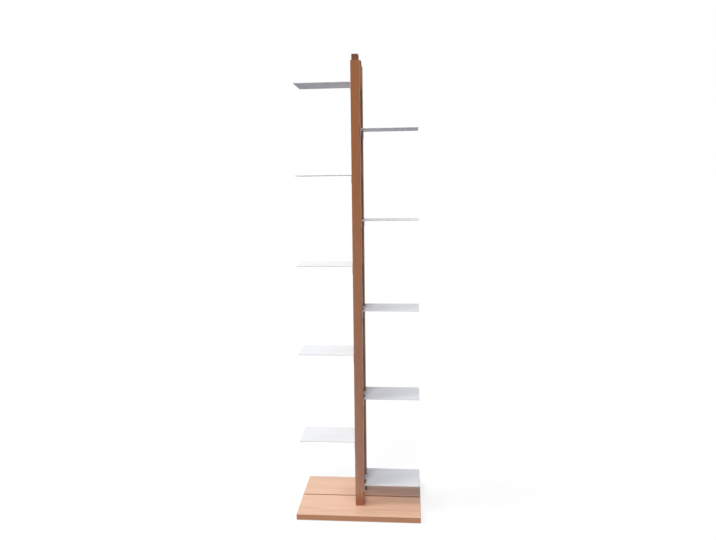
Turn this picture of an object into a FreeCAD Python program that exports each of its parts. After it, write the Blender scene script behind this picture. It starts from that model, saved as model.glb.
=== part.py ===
import FreeCAD, Part
import math
import os
import Sketcher

# Free-standing plant stand: a two-board base, a narrow ladder-like column of two uprights
# joined by rungs, and bent sheet-metal shelves hooked over the rungs, alternately right and left.
# X runs along the shelves, Y from the front of the stand to its back, Z up from the floor.

doc = FreeCAD.newDocument("plant_stand")
sheet = doc.addObject("Spreadsheet::Sheet", "sizes")

# Driving sizes in millimetres, except counts
SIZES = {
    # Base boards
    "base_width": 510,
    "base_depth": 400,
    "board_thickness": 24,
    "board_ease": 1.5,
    "seam_rebate_width": 4,
    "seam_rebate_depth": 8,
    # Uprights
    "upright_width": 36,
    "upright_depth": 48,
    "upright_above_shelves": 83,
    "upright_ease": 1.5,
    "column_depth": 208,
    "tenon_width": 27,
    "tenon_depth": 40,
    "top_tenon_height": 25,
    "tenon_ease": 1.5,
    "mortise_clearance": 0.15,
    # Rungs
    "rung_width": 18,
    "rung_height": 26,
    "rung_ease": 1.5,
    "rung_tenon_width": 10,
    "rung_tenon_height": 16,
    "rung_socket_depth": 20,
    "rung_clearance": 0.2,
    "rung_end_gap": 0.5,
    # Shelves
    "shelf_count": 10,
    "first_shelf_height": 86,
    "shelf_pitch": 186,
    "shelf_reach": 234,
    "shelf_setback": 10,
    "sheet_thickness": 2,
    "bend_radius": 2,
    "tip_corner_radius": 4,
    "flange_width": 22,
    "flange_height": 33,
    "flange_corner_radius": 4,
    "flange_clearance": 0.4,
    "notch_relief": 1,
    "tongue_width": 49,
    "lip_height": 6,
    "hook_clearance": 0.5,
    "seat_clearance": 0.3,
    # Fastenings under the base
    "washer_diameter": 58,
    "washer_thickness": 2.5,
    "washer_clearance": 1,
    "tenon_end_gap": 0.5,
    "screw_diameter": 8,
    "screw_length": 75,
    "screw_tip_length": 8,
    "screw_tip_diameter": 1,
    "screw_clearance": 0.2,
    "screw_head_corners": 15,
    "screw_head_height": 5,
    "screw_head_recess": 1,
    "dowel_diameter": 8,
    "dowel_length": 70,
    "dowel_clearance": 0.2,
    "dowel_end_gap": 0.5,
    "dowel_inset": 65,
    "dowel_pitch": 125,
    "dowels_per_side": 2,
    # Glides
    "glide_diameter": 24,
    "glide_height": 3,
    "glide_ease": 1,
    "glide_inset": 30,
}
for row, (alias, value) in enumerate(SIZES.items(), start=1):
    sheet.set("A%d" % row, alias)
    sheet.set("B%d" % row, str(value))
    sheet.setAlias("B%d" % row, alias)
doc.recompute()


def rule(text):
    """Write the sheet's name before each size named in an expression."""
    words = text.replace("(", " ( ").replace(")", " ) ").split()
    return " ".join("sizes." + word if word in SIZES else word for word in words)


def number(expression):
    """Present value of an expression on the sheet."""
    return float(sheet.evalExpression(expression))


# Levels and offsets that several pieces share, as expressions on the sheet
ZERO = "0"
BASE_TOP = rule("glide_height + board_thickness")
UPRIGHT_HEIGHT = rule("first_shelf_height + ( shelf_count - 1 ) * shelf_pitch + upright_above_shelves")
SHELF_DEPTH = rule("column_depth - 2 * shelf_setback")
BOARD_OFFSET = rule("base_depth / 4")
DOWEL_HEIGHT = rule("( board_thickness - seam_rebate_depth ) / 2")
UPRIGHT_OFFSET = rule("( column_depth - upright_depth ) / 2")
WASHER_RECESS = rule("washer_thickness + screw_head_height + screw_head_recess")
LOWER_TENON = rule("board_thickness - tenon_end_gap - ") + "(" + WASHER_RECESS + ")"
RUNG_DROP = rule("sheet_thickness + seat_clearance + rung_width / 2")
RUNG_FOOT = rule("rung_width / 2 - rung_height")
RUNG_MIDDLE = rule("( rung_width - rung_height ) / 2")
RUNG_SPAN = rule("column_depth - 2 * upright_depth")


def half(size):
    return rule(size + " / 2")


def level(index):
    """Height above the base's top of a shelf's upper face, counted from the bottom."""
    return rule("first_shelf_height + %d * shelf_pitch" % index)


def minus(expression):
    return "-(" + expression + ")"


# Sketch and feature helpers


def origin_feature(body, role):
    return next(feature for feature in body.Origin.OriginFeatures if feature.Role == role)


def new_sketch(body, role, name, lift=None):
    """Sketch on one of the body's own origin planes, lifted along the plane's normal."""
    sketch = body.newObject("Sketcher::SketchObject", name)
    sketch.AttachmentSupport = (origin_feature(body, role), [""])
    sketch.MapMode = "FlatFace"
    if lift:
        sketch.setExpression("AttachmentOffset.Base.z", lift)
    return sketch


def bind(sketch, constraint, expression):
    index = sketch.addConstraint(constraint)
    sketch.setExpression("Constraints[%d]" % index, expression)


def bind_point(sketch, geometry, vertex, x, y):
    """Hold a sketch point at two expressions, measured from the sketch's origin."""
    bind(sketch, Sketcher.Constraint("DistanceX", -1, 1, geometry, vertex, number(x)), x)
    bind(sketch, Sketcher.Constraint("DistanceY", -1, 1, geometry, vertex, number(y)), y)


def draw_outline(sketch, corners):
    """Closed outline of straight lines through corners, each a pair of expressions."""
    points = [FreeCAD.Vector(number(x), number(y), 0) for x, y in corners]
    count = len(points)
    for index, point in enumerate(points):
        sketch.addGeometry(Part.LineSegment(point, points[(index + 1) % count]), False)
    for index, corner in enumerate(corners):
        sketch.addConstraint(Sketcher.Constraint("Coincident", index, 2, (index + 1) % count, 1))
        bind_point(sketch, index, 1, *corner)


def draw_rectangle(sketch, low, high):
    """Rectangle between two corners, each a pair of expressions."""
    draw_outline(sketch, [low, (high[0], low[1]), high, (low[0], high[1])])


def draw_centred_rectangle(sketch, width, depth):
    draw_rectangle(sketch, (minus(half(width)), minus(half(depth))), (half(width), half(depth)))


def draw_rectangle_about(sketch, x, y, half_width, half_height):
    """Rectangle about a centre, all four given as expressions."""
    low = ("%s - (%s)" % (x, half_width), "%s - (%s)" % (y, half_height))
    high = ("%s + %s" % (x, half_width), "%s + %s" % (y, half_height))
    draw_rectangle(sketch, low, high)


def draw_round_top(sketch, radius, foot):
    """Flat foot, straight sides and a half-round top about the sketch's origin."""
    left = minus(radius)
    corners = [(left, ZERO), (left, foot), (radius, foot), (radius, ZERO)]
    points = [FreeCAD.Vector(number(x), number(y), 0) for x, y in corners]
    for start, end in zip(points, points[1:]):
        sketch.addGeometry(Part.LineSegment(start, end), False)
    circle = Part.Circle(FreeCAD.Vector(), FreeCAD.Vector(0, 0, 1), number(radius))
    arc = sketch.addGeometry(Part.ArcOfCircle(circle, 0, math.pi), False)
    sketch.addConstraint(Sketcher.Constraint("Coincident", 0, 2, 1, 1))
    sketch.addConstraint(Sketcher.Constraint("Coincident", 1, 2, 2, 1))
    sketch.addConstraint(Sketcher.Constraint("Coincident", 2, 2, arc, 1))
    sketch.addConstraint(Sketcher.Constraint("Coincident", arc, 2, 0, 1))
    sketch.addConstraint(Sketcher.Constraint("PointOnObject", arc, 3, -1))
    for line, corner in enumerate(corners[:3]):
        bind_point(sketch, line, 1, *corner)
    bind_point(sketch, 2, 2, *corners[3])


def draw_circle(sketch, diameter, centre=None):
    """Circle about the sketch's origin, or about a pair of expressions."""
    x, y = centre or (ZERO, ZERO)
    middle = FreeCAD.Vector(number(x), number(y), 0)
    normal = FreeCAD.Vector(0, 0, 1)
    index = sketch.addGeometry(Part.Circle(middle, normal, number(diameter) / 2), False)
    bind(sketch, Sketcher.Constraint("Diameter", index, number(diameter)), diameter)
    if centre:
        bind_point(sketch, index, 3, x, y)
    else:
        sketch.addConstraint(Sketcher.Constraint("Coincident", index, 3, -1, 1))


def add_feature(body, kind, name, sketch, length, symmetric=False, backwards=False):
    """Pad or Pocket of a sketch."""
    feature = body.newObject("PartDesign::" + kind, name)
    feature.Profile = sketch
    feature.setExpression("Length", length)
    feature.SideType = "Symmetric" if symmetric else "One side"
    feature.Reversed = backwards
    doc.recompute()
    return feature


def dress(body, kind, name, size, wanted):
    """Fillet or Chamfer of the body's edges for which wanted(edge) is true."""
    base = body.Tip
    edges = ["Edge%d" % (i + 1) for i, edge in enumerate(base.Shape.Edges) if wanted(edge)]
    feature = body.newObject("PartDesign::" + kind, name)
    feature.Base = (base, edges)
    feature.setExpression("Radius" if kind == "Fillet" else "Size", rule(size))
    doc.recompute()


def repeat(body, name, feature, axis, pitch, occurrences, backwards=False):
    """Linear pattern of a feature along one of the body's own axes."""
    pattern = body.newObject("PartDesign::LinearPattern", name)
    pattern.Originals = [feature]
    pattern.Direction = (origin_feature(body, axis), [""])
    pattern.Reversed = backwards
    pattern.setExpression("Length", rule("%s * ( %s - 1 )" % (pitch, occurrences)))
    pattern.setExpression("Occurrences", rule(occurrences))
    body.Tip = pattern
    doc.recompute()


NEAR = 1e-4


def runs_along(edge, axis):
    """True for a straight edge parallel to the axis."""
    if not isinstance(edge.Curve, Part.Line):
        return False
    return abs(abs(edge.Curve.Direction.dot(axis)) - 1) < NEAR


X_AXIS = FreeCAD.Vector(1, 0, 0)
Y_AXIS = FreeCAD.Vector(0, 1, 0)
Z_AXIS = FreeCAD.Vector(0, 0, 1)


def at(edge, x=None, y=None, z=None):
    """True if an edge's middle lies at the coordinates that are given."""
    middle = edge.CenterOfMass
    given = ((middle.x, x), (middle.y, y), (middle.z, z))
    return all(wanted is None or abs(value - wanted) < NEAR for value, wanted in given)


def place(part, x=None, y=None, z=None, half_turn=False):
    """Turn a part by half about Z if asked, and bind its position to expressions."""
    if half_turn:
        part.Placement = FreeCAD.Placement(FreeCAD.Vector(), FreeCAD.Rotation(Z_AXIS, 180))
    for axis, expression in zip("xyz", (x, y, z)):
        if expression:
            part.setExpression("Placement.Base." + axis, expression)


nodes = []


def new_body(label):
    body = doc.addObject("PartDesign::Body", label)
    body.Label = label
    nodes.append(body)
    return body


def new_group(label, pieces):
    """One node of several separate solids."""
    group = doc.addObject("Part::Compound", label)
    group.Label = label
    group.Links = pieces
    nodes.append(group)


# Base boards: they meet below a rebated groove along the seam. The mortise takes the upright's
# lower tenon, with a round recess under it.


def make_base_board(label, half_turn):
    body = new_body(label)
    plan = new_sketch(body, "XY_Plane", label + "_plan")
    side = half("base_width")
    seam = BOARD_OFFSET
    draw_rectangle(plan, (minus(side), minus(seam)), (side, seam))
    add_feature(body, "Pad", label + "_blank", plan, rule("board_thickness"))
    floor = rule("board_thickness - seam_rebate_depth")
    rebate = new_sketch(body, "XY_Plane", label + "_rebate_plan", floor)
    draw_rectangle(rebate, (minus(side), seam + " - " + rule("seam_rebate_width")), (side, seam))
    add_feature(body, "Pocket", label + "_rebate", rebate, rule("seam_rebate_depth"), backwards=True)
    top = number(rule("board_thickness"))
    dress(body, "Chamfer", label + "_eased_top", "board_ease", lambda edge: at(edge, z=top))

    tenon_y = BOARD_OFFSET + " - (" + UPRIGHT_OFFSET + ")"
    mortise = new_sketch(body, "XY_Plane", label + "_mortise_plan")
    half_width = rule("tenon_width / 2 + mortise_clearance")
    reach = rule("tenon_depth / 2 + mortise_clearance")
    draw_rectangle_about(mortise, ZERO, tenon_y, half_width, reach)
    add_feature(body, "Pocket", label + "_mortise", mortise, rule("board_thickness"), backwards=True)

    recess = new_sketch(body, "XY_Plane", label + "_recess_plan")
    draw_circle(recess, rule("washer_diameter + 2 * washer_clearance"), (ZERO, tenon_y))
    add_feature(body, "Pocket", label + "_recess", recess, WASHER_RECESS, backwards=True)

    # Dowel holes in the seam edge, on both sides of the upright
    outermost = rule("base_width / 2 - dowel_inset")
    bore = rule("dowel_diameter + 2 * dowel_clearance")
    depth = rule("dowel_length / 2 + dowel_end_gap")
    for side_name, x in (("left", minus(outermost)), ("right", outermost)):
        name = "%s_%s_dowel" % (label, side_name)
        hole = new_sketch(body, "XZ_Plane", name + "_plan", minus(seam))
        draw_circle(hole, bore, (x, DOWEL_HEIGHT))
        first = add_feature(body, "Pocket", name + "_hole", hole, depth, backwards=True)
        inwards = side_name == "right"
        repeat(body, name + "_holes", first, "X_Axis", "dowel_pitch", "dowels_per_side", inwards)
    offset = BOARD_OFFSET if half_turn else minus(BOARD_OFFSET)
    place(body, y=offset, z=rule("glide_height"), half_turn=half_turn)


make_base_board("base_front_board", False)
make_base_board("base_rear_board", True)


# Uprights: a stub tenon at each end, blind sockets for the rungs on the inner face


def make_upright(label, half_turn):
    body = new_body(label)
    section = new_sketch(body, "XY_Plane", label + "_section")
    draw_centred_rectangle(section, "upright_width", "upright_depth")
    add_feature(body, "Pad", label + "_shaft", section, UPRIGHT_HEIGHT)
    dress(body, "Fillet", label + "_eased_edges", "upright_ease", lambda edge: runs_along(edge, Z_AXIS))

    upper = new_sketch(body, "XY_Plane", label + "_upper_plan", UPRIGHT_HEIGHT)
    draw_centred_rectangle(upper, "tenon_width", "tenon_depth")
    add_feature(body, "Pad", label + "_upper_tenon", upper, rule("top_tenon_height"))
    crown = number(UPRIGHT_HEIGHT) + number(rule("top_tenon_height"))
    dress(body, "Chamfer", label + "_eased_tenon", "tenon_ease", lambda edge: at(edge, z=crown))

    lower = new_sketch(body, "XY_Plane", label + "_lower_plan")
    draw_centred_rectangle(lower, "tenon_width", "tenon_depth")
    add_feature(body, "Pad", label + "_lower_tenon", lower, LOWER_TENON, backwards=True)

    pilot = new_sketch(body, "XY_Plane", label + "_pilot_plan", minus(LOWER_TENON))
    draw_circle(pilot, rule("screw_diameter + 2 * screw_clearance"))
    add_feature(body, "Pocket", label + "_pilot", pilot, rule("screw_length"), backwards=True)

    socket = new_sketch(body, "XZ_Plane", label + "_socket_plan", minus(half("upright_depth")))
    middle = level(0) + " - (" + RUNG_DROP + ") + " + RUNG_MIDDLE
    side = rule("rung_tenon_width / 2 + rung_clearance")
    rise = rule("rung_tenon_height / 2 + rung_clearance")
    draw_rectangle_about(socket, ZERO, middle, side, rise)
    depth = rule("rung_socket_depth")
    first = add_feature(body, "Pocket", label + "_first_socket", socket, depth, backwards=True)
    repeat(body, label + "_sockets", first, "Z_Axis", "shelf_pitch", "shelf_count")
    offset = UPRIGHT_OFFSET if half_turn else minus(UPRIGHT_OFFSET)
    place(body, y=offset, z=BASE_TOP, half_turn=half_turn)


make_upright("front_upright", False)
make_upright("rear_upright", True)


# Rungs: bars with a half-round top, tenoned into the uprights and numbered from the bottom


def make_rung(index):
    label = "rung_%02d" % (index + 1)
    body = new_body(label)
    section = new_sketch(body, "XZ_Plane", label + "_section")
    draw_round_top(section, half("rung_width"), RUNG_FOOT)
    add_feature(body, "Pad", label + "_bar", section, RUNG_SPAN, symmetric=True)
    foot = number(RUNG_FOOT)
    dress(
        body, "Chamfer", label + "_eased_foot", "rung_ease",
        lambda edge: runs_along(edge, Y_AXIS) and at(edge, z=foot),
    )
    tenon = new_sketch(body, "XZ_Plane", label + "_tenon_section")
    draw_rectangle_about(tenon, ZERO, RUNG_MIDDLE, half("rung_tenon_width"), half("rung_tenon_height"))
    full_length = RUNG_SPAN + " + " + rule("2 * ( rung_socket_depth - rung_end_gap )")
    add_feature(body, "Pad", label + "_tenons", tenon, full_length, symmetric=True)
    place(body, z=BASE_TOP + " + " + level(index) + " - (" + RUNG_DROP + ")")


# Shelves: one bent sheet with two flanges against the uprights and a hooked tongue over a rung


def make_shelf(label, index, half_turn):
    body = new_body(label)
    flange_x = rule("upright_width / 2 + flange_clearance")
    tip_x = rule("upright_width / 2 + shelf_reach")
    notch_x = flange_x + " + " + rule("bend_radius + sheet_thickness + notch_relief")
    hook_x = minus(rule("rung_width / 2 + hook_clearance + sheet_thickness"))
    under = minus(rule("sheet_thickness"))
    lip_end = minus(rule("sheet_thickness + lip_height"))
    flange_end = minus(rule("flange_height"))
    sheet_face = flange_x + " + " + rule("sheet_thickness")
    lip_face = hook_x + " + " + rule("sheet_thickness")

    profile = new_sketch(body, "XZ_Plane", label + "_profile")
    draw_outline(profile, [
        (flange_x, ZERO),
        (tip_x, ZERO),
        (tip_x, under),
        (sheet_face, under),
        (sheet_face, flange_end),
        (flange_x, flange_end),
    ])
    add_feature(body, "Pad", label + "_sheet", profile, SHELF_DEPTH, symmetric=True)

    between = SHELF_DEPTH + " - " + rule("2 * flange_width")
    gap = new_sketch(body, "XZ_Plane", label + "_notch_profile")
    draw_rectangle(gap, (minus(tip_x), minus(tip_x)), (notch_x, tip_x))
    add_feature(body, "Pocket", label + "_notches", gap, between, symmetric=True)

    hook = new_sketch(body, "XZ_Plane", label + "_tongue_profile")
    draw_outline(hook, [
        (hook_x, ZERO),
        (notch_x, ZERO),
        (notch_x, under),
        (lip_face, under),
        (lip_face, lip_end),
        (hook_x, lip_end),
    ])
    add_feature(body, "Pad", label + "_tongue", hook, rule("tongue_width"), symmetric=True)

    inside = (number(sheet_face), number(lip_face))
    outside = (number(flange_x), number(hook_x))
    low = number(under)

    def is_bend(edge, places, z):
        return runs_along(edge, Y_AXIS) and any(at(edge, x=x, z=z) for x in places)

    dress(
        body, "Fillet", label + "_inner_bends", "bend_radius",
        lambda edge: is_bend(edge, inside, low),
    )
    dress(
        body, "Fillet", label + "_outer_bends", "bend_radius + sheet_thickness",
        lambda edge: is_bend(edge, outside, 0),
    )
    tip = number(tip_x)
    dress(
        body, "Fillet", label + "_tip_corners", "tip_corner_radius",
        lambda edge: runs_along(edge, Z_AXIS) and at(edge, x=tip),
    )
    foot = number(flange_end)
    dress(
        body, "Fillet", label + "_flange_corners", "flange_corner_radius",
        lambda edge: runs_along(edge, X_AXIS) and at(edge, z=foot),
    )
    place(body, z=BASE_TOP + " + " + level(index), half_turn=half_turn)


shelf_count = int(number(rule("shelf_count")))
for shelf_index in range(shelf_count):
    on_left = shelf_index % 2 == 1
    from_top = (shelf_count - shelf_index + 1) // 2
    make_rung(shelf_index)
    make_shelf("shelf_%s_%d" % ("left" if on_left else "right", from_top), shelf_index, on_left)


# Fastenings


def cylinder(name, radius, height, x=None, y=None, z=None):
    bar = doc.addObject("Part::Cylinder", name)
    bar.setExpression("Radius", radius)
    bar.setExpression("Height", height)
    place(bar, x, y, z)
    return bar


def make_dowel(name, x):
    """Dowel lying across the seam."""
    dowel = doc.addObject("Part::Cylinder", name)
    dowel.setExpression("Radius", half("dowel_diameter"))
    dowel.setExpression("Height", rule("dowel_length"))
    dowel.Placement.Rotation = FreeCAD.Rotation(X_AXIS, -90)
    place(dowel, x, minus(half("dowel_length")), rule("glide_height") + " + " + DOWEL_HEIGHT)
    return dowel


dowels = []
for dowel_index in range(int(number(rule("dowels_per_side")))):
    station = rule("base_width / 2 - dowel_inset - %d * dowel_pitch" % dowel_index)
    for dowel_x in (station, minus(station)):
        dowels.append(make_dowel("base_dowel_%d" % (len(dowels) + 1), dowel_x))
new_group("base_dowels", dowels)


def make_washer(name, y):
    """Large washer seated against the top of its recess."""
    seat = rule("glide_height") + " + " + WASHER_RECESS + " - " + rule("washer_thickness")
    disc = cylinder(name + "_disc", half("washer_diameter"), rule("washer_thickness"), y=y, z=seat)
    bore = cylinder(
        name + "_bore", rule("screw_diameter / 2 + washer_clearance"), rule("washer_thickness"), y=y, z=seat
    )
    washer = doc.addObject("Part::Cut", name)
    washer.Base = disc
    washer.Tool = bore
    return washer


def make_screw(name, y):
    """Hexagon-headed coach screw, its head against the washer and its point up in the upright."""
    seat = rule("glide_height") + " + " + WASHER_RECESS + " - " + rule("washer_thickness")
    head = doc.addObject("Part::Prism", name + "_head")
    head.Polygon = 6
    head.setExpression("Circumradius", half("screw_head_corners"))
    head.setExpression("Height", rule("screw_head_height"))
    place(head, y=y, z=seat + " - " + rule("screw_head_height"))
    straight = rule("screw_length - screw_tip_length")
    shank = cylinder(name + "_shank", half("screw_diameter"), straight, y=y, z=seat)
    point = doc.addObject("Part::Cone", name + "_point")
    point.setExpression("Radius1", half("screw_diameter"))
    point.setExpression("Radius2", half("screw_tip_diameter"))
    point.setExpression("Height", rule("screw_tip_length"))
    place(point, y=y, z=seat + " + " + straight)
    screw = doc.addObject("Part::MultiFuse", name)
    screw.Shapes = [head, shank, point]
    screw.Refine = True
    return screw


washers = []
screws = []
for side_name, upright_y in (("front", minus(UPRIGHT_OFFSET)), ("rear", UPRIGHT_OFFSET)):
    washers.append(make_washer(side_name + "_washer", upright_y))
    screws.append(make_screw(side_name + "_screw", upright_y))
new_group("tenon_washers", washers)
new_group("tenon_screws", screws)


# Glides: low round feet, chamfered where they meet the floor, three along each board


def make_glide(name, x, y):
    tread = doc.addObject("Part::Cone", name + "_tread")
    tread.setExpression("Radius1", rule("glide_diameter / 2 - glide_ease"))
    tread.setExpression("Radius2", half("glide_diameter"))
    tread.setExpression("Height", rule("glide_ease"))
    place(tread, x, y)
    seat = cylinder(
        name + "_seat", half("glide_diameter"), rule("glide_height - glide_ease"), x, y, rule("glide_ease")
    )
    glide = doc.addObject("Part::Fuse", name)
    glide.Base = tread
    glide.Tool = seat
    glide.Refine = True
    return glide


glide_x = rule("base_width / 2 - glide_inset")
glide_y = rule("base_depth / 2 - glide_inset")
glides = []
for column in (minus(glide_x), None, glide_x):
    for line in (minus(glide_y), glide_y):
        glides.append(make_glide("foot_glide_%d" % (len(glides) + 1), column, line))
new_group("foot_glides", glides)

doc.recompute()


# Every object must have come out whole before anything is written
for thing in doc.Objects:
    if "Invalid" in thing.State or "Error" in thing.State:
        raise RuntimeError("%s did not build: %s" % (thing.Name, thing.State))
for node in nodes:
    if node.Shape.isNull() or not node.Shape.isValid() or not node.Shape.Solids:
        raise RuntimeError("%s has no valid solid" % node.Label)

os.makedirs("parts", exist_ok=True)
for node in nodes:
    node.Shape.exportStep("parts/%s.step" % node.Label)
    box = node.Shape.BoundBox
    print("%-20s %d solid(s), %.0f mm3, x %.1f..%.1f y %.1f..%.1f z %.1f..%.1f" % (
        node.Label, len(node.Shape.Solids), node.Shape.Volume,
        box.XMin, box.XMax, box.YMin, box.YMax, box.ZMin, box.ZMax,
    ))
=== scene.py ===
import math

import bpy
from mathutils import Color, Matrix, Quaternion, Vector


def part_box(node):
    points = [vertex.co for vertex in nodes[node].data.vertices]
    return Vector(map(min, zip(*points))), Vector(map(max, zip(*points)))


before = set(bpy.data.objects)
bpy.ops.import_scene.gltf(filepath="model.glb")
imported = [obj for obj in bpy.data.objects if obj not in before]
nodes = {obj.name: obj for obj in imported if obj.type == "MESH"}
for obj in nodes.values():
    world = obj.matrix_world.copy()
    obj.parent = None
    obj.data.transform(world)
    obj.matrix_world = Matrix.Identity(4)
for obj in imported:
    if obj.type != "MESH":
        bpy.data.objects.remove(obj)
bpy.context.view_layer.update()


# Shader expressions


class Wire:
    """An output socket of a shader tree. Sums that are written with it become Math nodes."""

    def __init__(self, tree, socket=None):
        self.tree = tree
        self.socket = socket

    def node(self, kind, settings, inputs, output=0):
        """Add a node: its settings, then its inputs, each a value or a wire. Gives one output."""
        made = self.tree.nodes.new(kind)
        for setting, value in settings.items():
            if setting == "stops":
                fill_ramp(made.color_ramp, value)
            else:
                setattr(made, setting, value)
        for socket, value in inputs.items():
            feed(made.inputs[socket], value)
        return Wire(self.tree, made.outputs[output])

    def beside(self, output):
        """Another output of the node that this wire comes from."""
        return Wire(self.tree, self.socket.node.outputs[output])

    def maths(self, operation, *values):
        return self.node("ShaderNodeMath", {"operation": operation}, dict(enumerate(values)))

    def __add__(self, other):
        return self.maths("ADD", self, other)

    def __radd__(self, other):
        return self.maths("ADD", other, self)

    def __sub__(self, other):
        return self.maths("SUBTRACT", self, other)

    def __rsub__(self, other):
        return self.maths("SUBTRACT", other, self)

    def __mul__(self, other):
        return self.maths("MULTIPLY", self, other)

    def __rmul__(self, other):
        return self.maths("MULTIPLY", other, self)

    def __truediv__(self, other):
        return self.maths("DIVIDE", self, other)

    def __pow__(self, other):
        return self.maths("POWER", self, other)

    def __abs__(self):
        return self.maths("ABSOLUTE", self)

    def least(self, other):
        return self.maths("MINIMUM", self, other)

    def most(self, other):
        return self.maths("MAXIMUM", self, other)

    def rise(self, start, end):
        """Smooth step from 0 at start to 1 at end."""
        settings = {"interpolation_type": "SMOOTHSTEP"}
        inputs = {"Value": self, "From Min": start, "From Max": end}
        return self.node("ShaderNodeMapRange", settings, inputs)


def feed(socket, value):
    """Link a wire to an input, or set the input's own value."""
    if isinstance(value, Wire):
        value.tree.links.new(value.socket, socket)
    else:
        socket.default_value = value


def fill_ramp(ramp, stops):
    """Set a ramp's stops, each a position and a colour."""
    while len(ramp.elements) < len(stops):
        ramp.elements.new(1)
    for element, (position, colour) in zip(ramp.elements, stops):
        element.position = position
        element.color = colour


def tone(code):
    """Colour from a screen code such as D19F7E."""
    shares = [int(code[place:place + 2], 16) / 255 for place in (0, 2, 4)]
    return [*Color(shares).from_srgb_to_scene_linear(), 1]


MIX_FACTOR, MIX_FIRST, MIX_SECOND, MIX_RESULT = 0, 6, 7, 2


def mix(share, first, second, blend="MIX"):
    """Colour that goes from first to second as share goes from 0 to 1."""
    settings = {"data_type": "RGBA", "blend_type": blend}
    inputs = {MIX_FACTOR: share, MIX_FIRST: first, MIX_SECOND: second}
    return share.node("ShaderNodeMix", settings, inputs, MIX_RESULT)


def new_finish(name):
    """A new material, and the place of a point in the object's own frame."""
    material = bpy.data.materials.new(name)
    material.use_nodes = True
    return material, Wire(material.node_tree).node("ShaderNodeTexCoord", {}, {}, "Object")


def set_surface(material, colour, roughness, normal, constants):
    """Feed the Principled shader: what varies by wires, what doesn't by plain values."""
    shader = material.node_tree.nodes["Principled BSDF"]
    varying = {"Base Color": colour, "Roughness": roughness, "Normal": normal}
    for socket, value in {**varying, **constants}.items():
        feed(shader.inputs[socket], value)


def apart(vector):
    """The three parts of a vector."""
    first = vector.node("ShaderNodeSeparateXYZ", {}, {"Vector": vector})
    return [first, first.beside(1), first.beside(2)]


PLAIN_DETAIL = 2.0
FINE_DETAIL = 3.0
NOISE_MIDDLE = 0.5


def even(rate):
    """The same rate along X, Y and Z."""
    return [rate] * 3


def stretched(place, rates):
    """A place in cells, with rates in cells per metre along X, Y and Z."""
    return place.node("ShaderNodeMapping", {}, {"Vector": place, "Scale": rates})


def noise(place, rates, detail=PLAIN_DETAIL):
    """Noise over a place, with rates in cells per metre along X, Y and Z."""
    inputs = {"Vector": stretched(place, rates), "Scale": 1.0, "Detail": detail}
    return place.node("ShaderNodeTexNoise", {}, inputs)


def bump(height, strength, depth):
    """Normal of a surface with this height, from 0 to 1, over this depth in metres."""
    inputs = {"Height": height, "Strength": strength, "Distance": depth}
    return height.node("ShaderNodeBump", {}, inputs, "Normal")


# Sawn beech: growth rings about a pith line, fibres, ray flecks and darker end grain

X, Y, Z = 0, 1, 2
RING_WIDTH = 0.0034
RING_WOBBLE = 0.016
RING_SHARPNESS = 2.5
WOBBLE_RATES = (1.3, 8.0)
BROAD_RATES = (2.2, 22.0)
FIBRE_RATES = (20.0, 620.0)
FIBRE_DETAIL = 4.0
FLECK_RATES = (240.0, 1250.0)
FLECK_FADE = (0.12, 0.45)
FLECK_LOTS = (0.6, 0.7)
FLECK_SHARE = 0.45
END_FACING = (0.75, 0.95)
END_SHARE = 0.55
END_RING_SHARE = 0.4
RING_FIGURE = 0.3
FIBRE_FIGURE = 0.7
BROAD_FIGURE = 0.6
PLAIN_FIGURE = 0.38
MIDDLE_FIGURE = 0.45
WOOD_ROUGHNESS = 0.42
FIBRE_ROUGHNESS = 0.16
END_ROUGHNESS = 0.22
FIBRE_RELIEF = 0.5
RING_RELIEF = 0.25
FLECK_RELIEF = 0.5


def along_grain(grain, rates):
    """Rates along X, Y and Z from a rate along the grain and a rate across it."""
    along, across = rates
    spread = even(across)
    spread[grain] = along
    return spread


def ray_flecks(place, grain):
    """Short dark flecks along the grain, in about two cells of five."""
    inputs = {"Vector": stretched(place, along_grain(grain, FLECK_RATES)), "Scale": 1.0}
    near = place.node("ShaderNodeTexVoronoi", {}, inputs, "Distance")
    lot = apart(near.beside("Color"))[0]
    return (1 - near.rise(*FLECK_FADE)) * lot.rise(*FLECK_LOTS)


def growth_rings(place, parts, grain, pith):
    """Darkening towards the end of each year's ring, about a pith that runs along the grain."""
    first, second = [parts[axis] - pith[axis] for axis in (X, Y, Z) if axis != grain]
    wobble = noise(place, along_grain(grain, WOBBLE_RATES)) - NOISE_MIDDLE
    from_pith = (first * first + second * second) ** 0.5
    years = (from_pith + wobble * RING_WOBBLE) / RING_WIDTH
    return years.maths("FRACT", years) ** RING_SHARPNESS


def sawn_beech(place, parts, grain, pith, tones):
    """Colour, roughness and relief of sawn beech, in a pale, a middle, a deep and an end-grain tone."""
    ring = growth_rings(place, parts, grain, pith)
    broad = noise(place, along_grain(grain, BROAD_RATES))
    fibre = noise(place, along_grain(grain, FIBRE_RATES), FIBRE_DETAIL)
    fleck = ray_flecks(place, grain)
    end = abs(apart(place.beside("Normal"))[grain]).rise(*END_FACING)
    pale, middle, deep, end_tone = [tone(code) for code in tones]
    uneven = FIBRE_FIGURE * (fibre - NOISE_MIDDLE)
    figure = RING_FIGURE * ring + uneven + BROAD_FIGURE * (broad - NOISE_MIDDLE) + PLAIN_FIGURE
    stops = [(0.0, pale), (MIDDLE_FIGURE, middle), (1.0, deep)]
    colour = figure.node("ShaderNodeValToRGB", {"stops": stops}, {"Fac": figure})
    colour = mix(FLECK_SHARE * fleck, colour, deep)
    colour = mix(end * (END_SHARE + END_RING_SHARE * ring), colour, end_tone)
    roughness = WOOD_ROUGHNESS + FIBRE_ROUGHNESS * fibre + END_ROUGHNESS * end
    relief = FIBRE_RELIEF * fibre + RING_RELIEF * ring - FLECK_RELIEF * fleck
    return colour, roughness, relief


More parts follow.
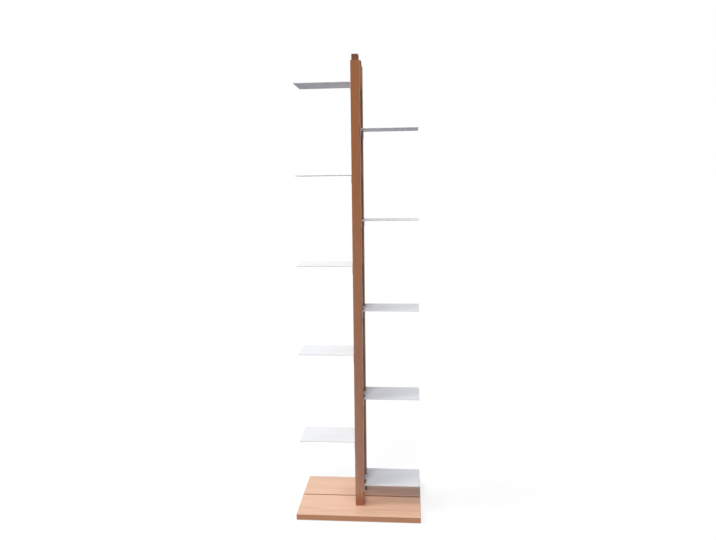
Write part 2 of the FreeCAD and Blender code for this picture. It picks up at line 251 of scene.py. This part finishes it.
ARRIS_RATE = 70.0
ARRIS_WIDTH = 0.0035
ARRIS_PATCHES = (0.35, 0.65)
ARRIS_POLISH = 0.08


def rubbed_arris(place, parts, box):
    """Patches along a box's edges, which are near two of its three pairs of faces."""
    low, high = box
    a, b, c = [(high[i] - low[i]) / 2 - abs(parts[i] - (high[i] + low[i]) / 2) for i in (X, Y, Z)]
    distance = a.least(b).most(a.most(b).least(c))
    patches = noise(place, even(ARRIS_RATE), FINE_DETAIL).rise(*ARRIS_PATCHES)
    return (1 - distance.rise(0.0, ARRIS_WIDTH)) * patches


WOOD_GLOSS = 0.45
WOOD_BUMP = 0.3
WOOD_RELIEF = 0.0003


def set_wood(material, colour, roughness, relief):
    normal = bump(relief, WOOD_BUMP, WOOD_RELIEF)
    set_surface(material, colour, roughness, normal, {"Specular IOR Level": WOOD_GLOSS})


# Base boards: grain along the seam, sides painted in shade below the top, painted shade in the groove, a
# dark seam line

BOARD_TONES = ("F7D1B2", "EDC1A3", "D09D7D", "A87454")
BOARD_PITHS = {"base_front_board": (0, -0.135, -0.07), "base_rear_board": (0, 0.05, 0.12)}
# Painted shade: the sides and ends are multiplied by this tone, so they are darker than the top
BOARD_SIDE_SHADE = "ECD1BA"
BOARD_TOP_FACING = (0.4, 0.9)
BOARD_RUB_SHARE = 0.35
# Painted shade in the groove and the dark hairline at the butt seam both take this tone
GROOVE_SHADE_AND_SEAM_TONE = "2B1A12"
GROOVE_HALF_WIDTH = 0.0042
GROOVE_DEPTH = 0.008
GROOVE_FADE = 0.0006
GROOVE_END_FACING = (0.5, 0.9)
GROOVE_SHADE_SHARE = 0.4
SEAM_HALF_WIDTH = 0.0003
SEAM_SHARE = 0.7
GROOVE_AND_SEAM_ROUGHNESS = 0.3


def board_finish(board, pith):
    material, place = new_finish(board + "_beech")
    parts = apart(place)
    low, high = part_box(board)
    colour, roughness, relief = sawn_beech(place, parts, X, pith, BOARD_TONES)
    facing = apart(place.beside("Normal"))
    # Painted shade: faces that don't look up are darkened and deepened, as where less light falls
    side = 1 - facing[Z].rise(*BOARD_TOP_FACING)
    colour = mix(side, colour, tone(BOARD_SIDE_SHADE), "MULTIPLY")
    arris = rubbed_arris(place, parts, (low, high))
    colour = mix(BOARD_RUB_SHARE * arris, colour, tone(BOARD_TONES[0]))
    from_seam = abs(parts[Y])
    # Painted shade: the inside of the groove is darkened as where its shade falls; the hairline is the
    # boards' dark joint
    within = 1 - from_seam.rise(GROOVE_HALF_WIDTH, GROOVE_HALF_WIDTH + GROOVE_FADE)
    bottom = high.z - GROOVE_DEPTH
    above = parts[Z].rise(bottom - 2 * GROOVE_FADE, bottom - GROOVE_FADE)
    groove = within * above * (1 - abs(facing[X]).rise(*GROOVE_END_FACING))
    seam = 1 - from_seam.rise(SEAM_HALF_WIDTH, 2 * SEAM_HALF_WIDTH)
    dark = (GROOVE_SHADE_SHARE * groove).most(SEAM_SHARE * seam)
    colour = mix(dark, colour, tone(GROOVE_SHADE_AND_SEAM_TONE))
    roughness = roughness - ARRIS_POLISH * arris + GROOVE_AND_SEAM_ROUGHNESS * dark
    set_wood(material, colour, roughness, relief)
    return material


# Uprights: grain along the height, warmer upwards, painted shade at the foot and on the rear upright,
# with a darker tenon on top

UPRIGHT_PLANKS = {
    "front_upright": ((0.06, -0.16, 0), ("C99D83", "BE8F75", "9A6753", "6E4334")),
    # The rear upright's tones are darker than the front's, as painted shade
    "rear_upright": ((-0.09, 0.15, 0), ("BC937B", "B1866C", "905F4D", "673F31")),
}
UPRIGHT_WARMTH = "F8CE92"
WARMTH_SPAN = (-0.1, 0.9)
# Painted shade: the foot is multiplied by this tone, so it is darker where it meets the base
UPRIGHT_FOOT_SHADE = "D6B3A0"
FOOT_REACH = (0.03, 0.09)
UPRIGHT_RUB_SHARE = 0.15
TENON_HEIGHT = 0.025
TENON_FADE = 0.0008
TENON_SHARE = 0.75
TENON_ROUGHNESS = 0.1


def upright_finish(upright, pith, tones):
    material, place = new_finish(upright + "_beech")
    parts = apart(place)
    low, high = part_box(upright)
    colour, roughness, relief = sawn_beech(place, parts, Z, pith, tones)
    warmth = (parts[Z] / high.z).rise(*WARMTH_SPAN)
    colour = mix(warmth, colour, tone(UPRIGHT_WARMTH), "MULTIPLY")
    # Painted shade at the foot, where the upright stands on the base
    foot = 1 - (parts[Z] - low.z).rise(*FOOT_REACH)
    colour = mix(foot, colour, tone(UPRIGHT_FOOT_SHADE), "MULTIPLY")
    arris = rubbed_arris(place, parts, (low, high))
    colour = mix(UPRIGHT_RUB_SHARE * arris, colour, tone(tones[0]))
    shoulder = high.z - TENON_HEIGHT
    tenon = parts[Z].rise(shoulder - TENON_FADE, shoulder + TENON_FADE)
    colour = mix(TENON_SHARE * tenon, colour, tone(tones[3]))
    roughness = roughness - ARRIS_POLISH * arris + TENON_ROUGHNESS * tenon
    set_wood(material, colour, roughness, relief)
    return material


# Rungs: grain from upright to upright, polished where a tongue lies over the middle

RUNG_TONES = ("D6A681", "C8936D", "A97552", "8C5C3D")
RUNG_PITH = (0.02, 0, 0)
CROWN_FACING = (0.3, 0.9)
RUB_HALF_LENGTH = 0.024
RUB_FADE = 0.004
RUB_SHARE = 0.35
RUB_POLISH = 0.15


def rung_finish():
    material, place = new_finish("rung_beech")
    parts = apart(place)
    colour, roughness, relief = sawn_beech(place, parts, Y, RUNG_PITH, RUNG_TONES)
    crown = apart(place.beside("Normal"))[Z].rise(*CROWN_FACING)
    middle = 1 - abs(parts[Y]).rise(RUB_HALF_LENGTH - RUB_FADE, RUB_HALF_LENGTH + RUB_FADE)
    rub = crown * middle
    colour = mix(RUB_SHARE * rub, colour, tone(RUNG_TONES[3]))
    set_wood(material, colour, roughness - RUB_POLISH * rub, relief)
    return material


# White powder coat: an even, slightly cool white with orange peel and fine scuffs, thin at the rim

COAT_TONES = ("F0F1F2", "EBEDEF")
RIM_TONE = "C4C8CF"
COAT_GLOSS = 0.5
COAT_ROUGHNESS = 0.38
CLOUD_RATE = 11.0
CLOUD_SPAN = (0.3, 0.7)
CLOUD_ROUGHNESS = 0.14
PEEL_RATE = 620.0
PEEL_BUMP = 0.1
PEEL_DEPTH = 0.0002
SCUFF_RATES = (26.0, 300.0, 300.0)
SCUFF_SPAN = (0.6, 0.75)
SCUFF_SHARE = 0.1
SCUFF_POLISH = 0.12
CHIP_RATE = 130.0
CHIP_SPAN = (0.62, 0.68)
RIM_WIDTH = 0.0012
RIM_EVEN_WEAR = 0.3
RIM_CHIP_WEAR = 0.7
RIM_SHARE = 0.3
RIM_ROUGHNESS = 0.1


def powder_coat(reach, half_depth):
    """Coat for sheets that reach this far out on either side, with this half depth."""
    material, place = new_finish("white_powder_coat")
    parts = apart(place)
    cloud = noise(place, even(CLOUD_RATE), FINE_DETAIL)
    peel = noise(place, even(PEEL_RATE))
    colour = mix(cloud.rise(*CLOUD_SPAN), tone(COAT_TONES[0]), tone(COAT_TONES[1]))
    scuff = noise(place, SCUFF_RATES, FINE_DETAIL).rise(*SCUFF_SPAN)
    from_rim = (reach - abs(parts[X])).least(half_depth - abs(parts[Y]))
    chips = noise(place, even(CHIP_RATE)).rise(*CHIP_SPAN)
    worn = (1 - from_rim.rise(0.0, RIM_WIDTH)) * (RIM_EVEN_WEAR + RIM_CHIP_WEAR * chips)
    colour = mix((SCUFF_SHARE * scuff).most(RIM_SHARE * worn), colour, tone(RIM_TONE))
    roughness = COAT_ROUGHNESS + CLOUD_ROUGHNESS * cloud - SCUFF_POLISH * scuff + RIM_ROUGHNESS * worn
    normal = bump(peel, PEEL_BUMP, PEEL_DEPTH)
    set_surface(material, colour, roughness, normal, {"Specular IOR Level": COAT_GLOSS})
    return material


# Zinc plate on the fastenings, out of sight under the base

ZINC_TONES = ("8F9396", "A3A7A9")
ZINC_ROUGHNESS = 0.3
GRIT_RATE = 2600.0
GRIT_SPAN = (0.3, 0.7)
GRIT_ROUGHNESS = 0.1
GRIT_BUMP = 0.1
GRIT_DEPTH = 0.0001
STAIN_TONE = "8C8674"
STAIN_RATE = 90.0
STAIN_SPAN = (0.45, 0.75)
STAIN_SHARE = 0.6
STAIN_ROUGHNESS = 0.2


def zinc_plate():
    material, place = new_finish("zinc_plate")
    grit = noise(place, even(GRIT_RATE))
    stain = noise(place, even(STAIN_RATE), FINE_DETAIL).rise(*STAIN_SPAN)
    colour = mix(grit.rise(*GRIT_SPAN), tone(ZINC_TONES[0]), tone(ZINC_TONES[1]))
    colour = mix(STAIN_SHARE * stain, colour, tone(STAIN_TONE))
    roughness = ZINC_ROUGHNESS + GRIT_ROUGHNESS * grit + STAIN_ROUGHNESS * stain
    normal = bump(grit, GRIT_BUMP, GRIT_DEPTH)
    set_surface(material, colour, roughness, normal, {"Metallic": 1.0})
    return material


# Moulded nylon on the glides, speckled and scuffed by the floor

NYLON_TONES = ("8D8880", "7C776F")
NYLON_ROUGHNESS = 0.5
SPECKLE_RATE = 1400.0
SPECKLE_SPAN = (0.35, 0.65)
SPECKLE_BUMP = 0.2
SPECKLE_DEPTH = 0.0002
GLIDE_SCUFF_TONE = "A39E95"
GLIDE_SCUFF_RATES = (40.0, 220.0, 40.0)
GLIDE_SCUFF_SPAN = (0.5, 0.7)
GLIDE_SCUFF_SHARE = 0.4
GLIDE_SCUFF_ROUGHNESS = 0.2


def glide_nylon():
    material, place = new_finish("glide_nylon")
    speckle = noise(place, even(SPECKLE_RATE))
    scuff = noise(place, GLIDE_SCUFF_RATES, FINE_DETAIL).rise(*GLIDE_SCUFF_SPAN)
    colour = mix(speckle.rise(*SPECKLE_SPAN), tone(NYLON_TONES[0]), tone(NYLON_TONES[1]))
    colour = mix(GLIDE_SCUFF_SHARE * scuff, colour, tone(GLIDE_SCUFF_TONE))
    roughness = NYLON_ROUGHNESS + GLIDE_SCUFF_ROUGHNESS * scuff
    set_surface(material, colour, roughness, bump(speckle, SPECKLE_BUMP, SPECKLE_DEPTH), {})
    return material


# Finishes on the pieces


def dress(node, material):
    """Give a node its one material."""
    mesh = nodes[node].data
    mesh.materials.clear()
    mesh.materials.append(material)


def named(start):
    """Names of the nodes that begin alike."""
    return sorted(name for name in nodes if name.startswith(start))


for board, board_pith in BOARD_PITHS.items():
    dress(board, board_finish(board, board_pith))
for upright, (upright_pith, upright_tones) in UPRIGHT_PLANKS.items():
    dress(upright, upright_finish(upright, upright_pith, upright_tones))
rung_beech = rung_finish()
for rung in named("rung_") + ["base_dowels"]:
    dress(rung, rung_beech)
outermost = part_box("shelf_right_1")[1]
white_coat = powder_coat(outermost.x, outermost.y)
for shelf in named("shelf_"):
    dress(shelf, white_coat)
bright_zinc = zinc_plate()
for fastening in named("tenon_"):
    dress(fastening, bright_zinc)
dress("foot_glides", glide_nylon())


# Stage: a pale floor that keeps the shadow, a slightly cool white surround and soft, slightly warm lamps

FLOOR_REACH = 9.0
FLOOR_BOUNCE = (0.06, 0.06, 0.11, 1)
FLOOR_GLOW = 0.82
FLOOR_SHADE = (0.22, 0.22, 0.22, 1)
SKY = (0.18, 0.205, 0.265, 1)
WHITE = (1, 1, 1, 1)
LAMP_TONE = (1, 0.985, 0.955)
KEY_DIRECTION = Vector((-0.65, -0.12, 0.75))
KEY_LEVEL = 0.55
KEY_SPREAD = math.radians(30)
FILL_DIRECTION = Vector((-0.12, -0.74, 0.66))
FILL_LEVEL = 0.48
FILL_SPREAD = math.radians(20)
BACK_DIRECTION = Vector((-0.3, 0.82, 0.5))
BACK_LEVEL = 0.09
BACK_SPREAD = math.radians(40)


def seen_directly(start):
    """1 for rays that show the surround as a picture: from the camera, off gloss or through glass."""
    camera = start.node("ShaderNodeLightPath", {}, {}, "Is Camera Ray")
    return camera.most(camera.beside("Is Glossy Ray")).most(camera.beside("Is Transmission Ray"))


def pale_floor():
    quarters = ((-1, -1), (1, -1), (1, 1), (-1, 1))
    corners = [(FLOOR_REACH * x, FLOOR_REACH * y, 0) for x, y in quarters]
    mesh = bpy.data.meshes.new("floor")
    mesh.from_pydata(corners, [], [(0, 1, 2, 3)])
    floor = bpy.data.objects.new("floor", mesh)
    bpy.context.scene.collection.objects.link(floor)
    material = bpy.data.materials.new("pale_floor")
    material.use_nodes = True
    start = Wire(material.node_tree)
    bounce = start.node("ShaderNodeBsdfDiffuse", {}, {"Color": FLOOR_BOUNCE})
    glow = start.node("ShaderNodeEmission", {}, {"Strength": FLOOR_GLOW})
    shade = start.node("ShaderNodeBsdfDiffuse", {}, {"Color": FLOOR_SHADE})
    shown = start.node("ShaderNodeAddShader", {}, {0: glow, 1: shade})
    both = start.node("ShaderNodeMixShader", {}, {0: seen_directly(start), 1: bounce, 2: shown})
    feed(material.node_tree.nodes["Material Output"].inputs["Surface"], both)
    mesh.materials.append(material)


def white_surround():
    world = bpy.data.worlds.new("surround")
    world.use_nodes = True
    bpy.context.scene.world = world
    start = Wire(world.node_tree)
    background = world.node_tree.nodes["Background"]
    feed(background.inputs["Color"], mix(seen_directly(start), SKY, WHITE))


def soft_light(name, direction, level, spread):
    """A distant lamp whose level is the brightness of a white sheet that faces it."""
    lamp = bpy.data.lights.new(name, "SUN")
    lamp.energy = level * math.pi
    lamp.color = LAMP_TONE
    lamp.angle = spread
    holder = bpy.data.objects.new(name, lamp)
    holder.rotation_mode = "QUATERNION"
    holder.rotation_quaternion = direction.to_track_quat("Z", "Y")
    bpy.context.scene.collection.objects.link(holder)


pale_floor()
white_surround()
soft_light("key_light", KEY_DIRECTION, KEY_LEVEL, KEY_SPREAD)
soft_light("fill_light", FILL_DIRECTION, FILL_LEVEL, FILL_SPREAD)
soft_light("back_light", BACK_DIRECTION, BACK_LEVEL, BACK_SPREAD)
bpy.context.scene.view_settings.view_transform = "Standard"


# Camera: fitted to the base's corners, the column and the shelves, for an image of 716 by 540

IMAGE_WIDTH = 716
FOCAL_PIXELS = 740
SENSOR_WIDTH = 36
CAMERA_PLACE = Vector((0.2252, -3.1013, 1.3836))
CAMERA_YAW = -0.09528
CAMERA_PITCH = 0.09593
CAMERA_ROLL = -0.01382
SHIFT_PIXELS = (16.1, -16.0)

eye = bpy.data.cameras.new("camera")
eye.sensor_width = SENSOR_WIDTH
eye.lens = FOCAL_PIXELS * SENSOR_WIDTH / IMAGE_WIDTH
eye.shift_x = SHIFT_PIXELS[0] / IMAGE_WIDTH
eye.shift_y = SHIFT_PIXELS[1] / IMAGE_WIDTH
camera = bpy.data.objects.new("camera", eye)
camera.location = CAMERA_PLACE
level = math.cos(CAMERA_PITCH)
ahead = Vector((math.sin(CAMERA_YAW) * level, math.cos(CAMERA_YAW) * level, -math.sin(CAMERA_PITCH)))
camera.rotation_mode = "QUATERNION"
camera.rotation_quaternion = ahead.to_track_quat("-Z", "Y") @ Quaternion((0, 0, 1), CAMERA_ROLL)
bpy.context.scene.collection.objects.link(camera)
bpy.context.scene.camera = camera
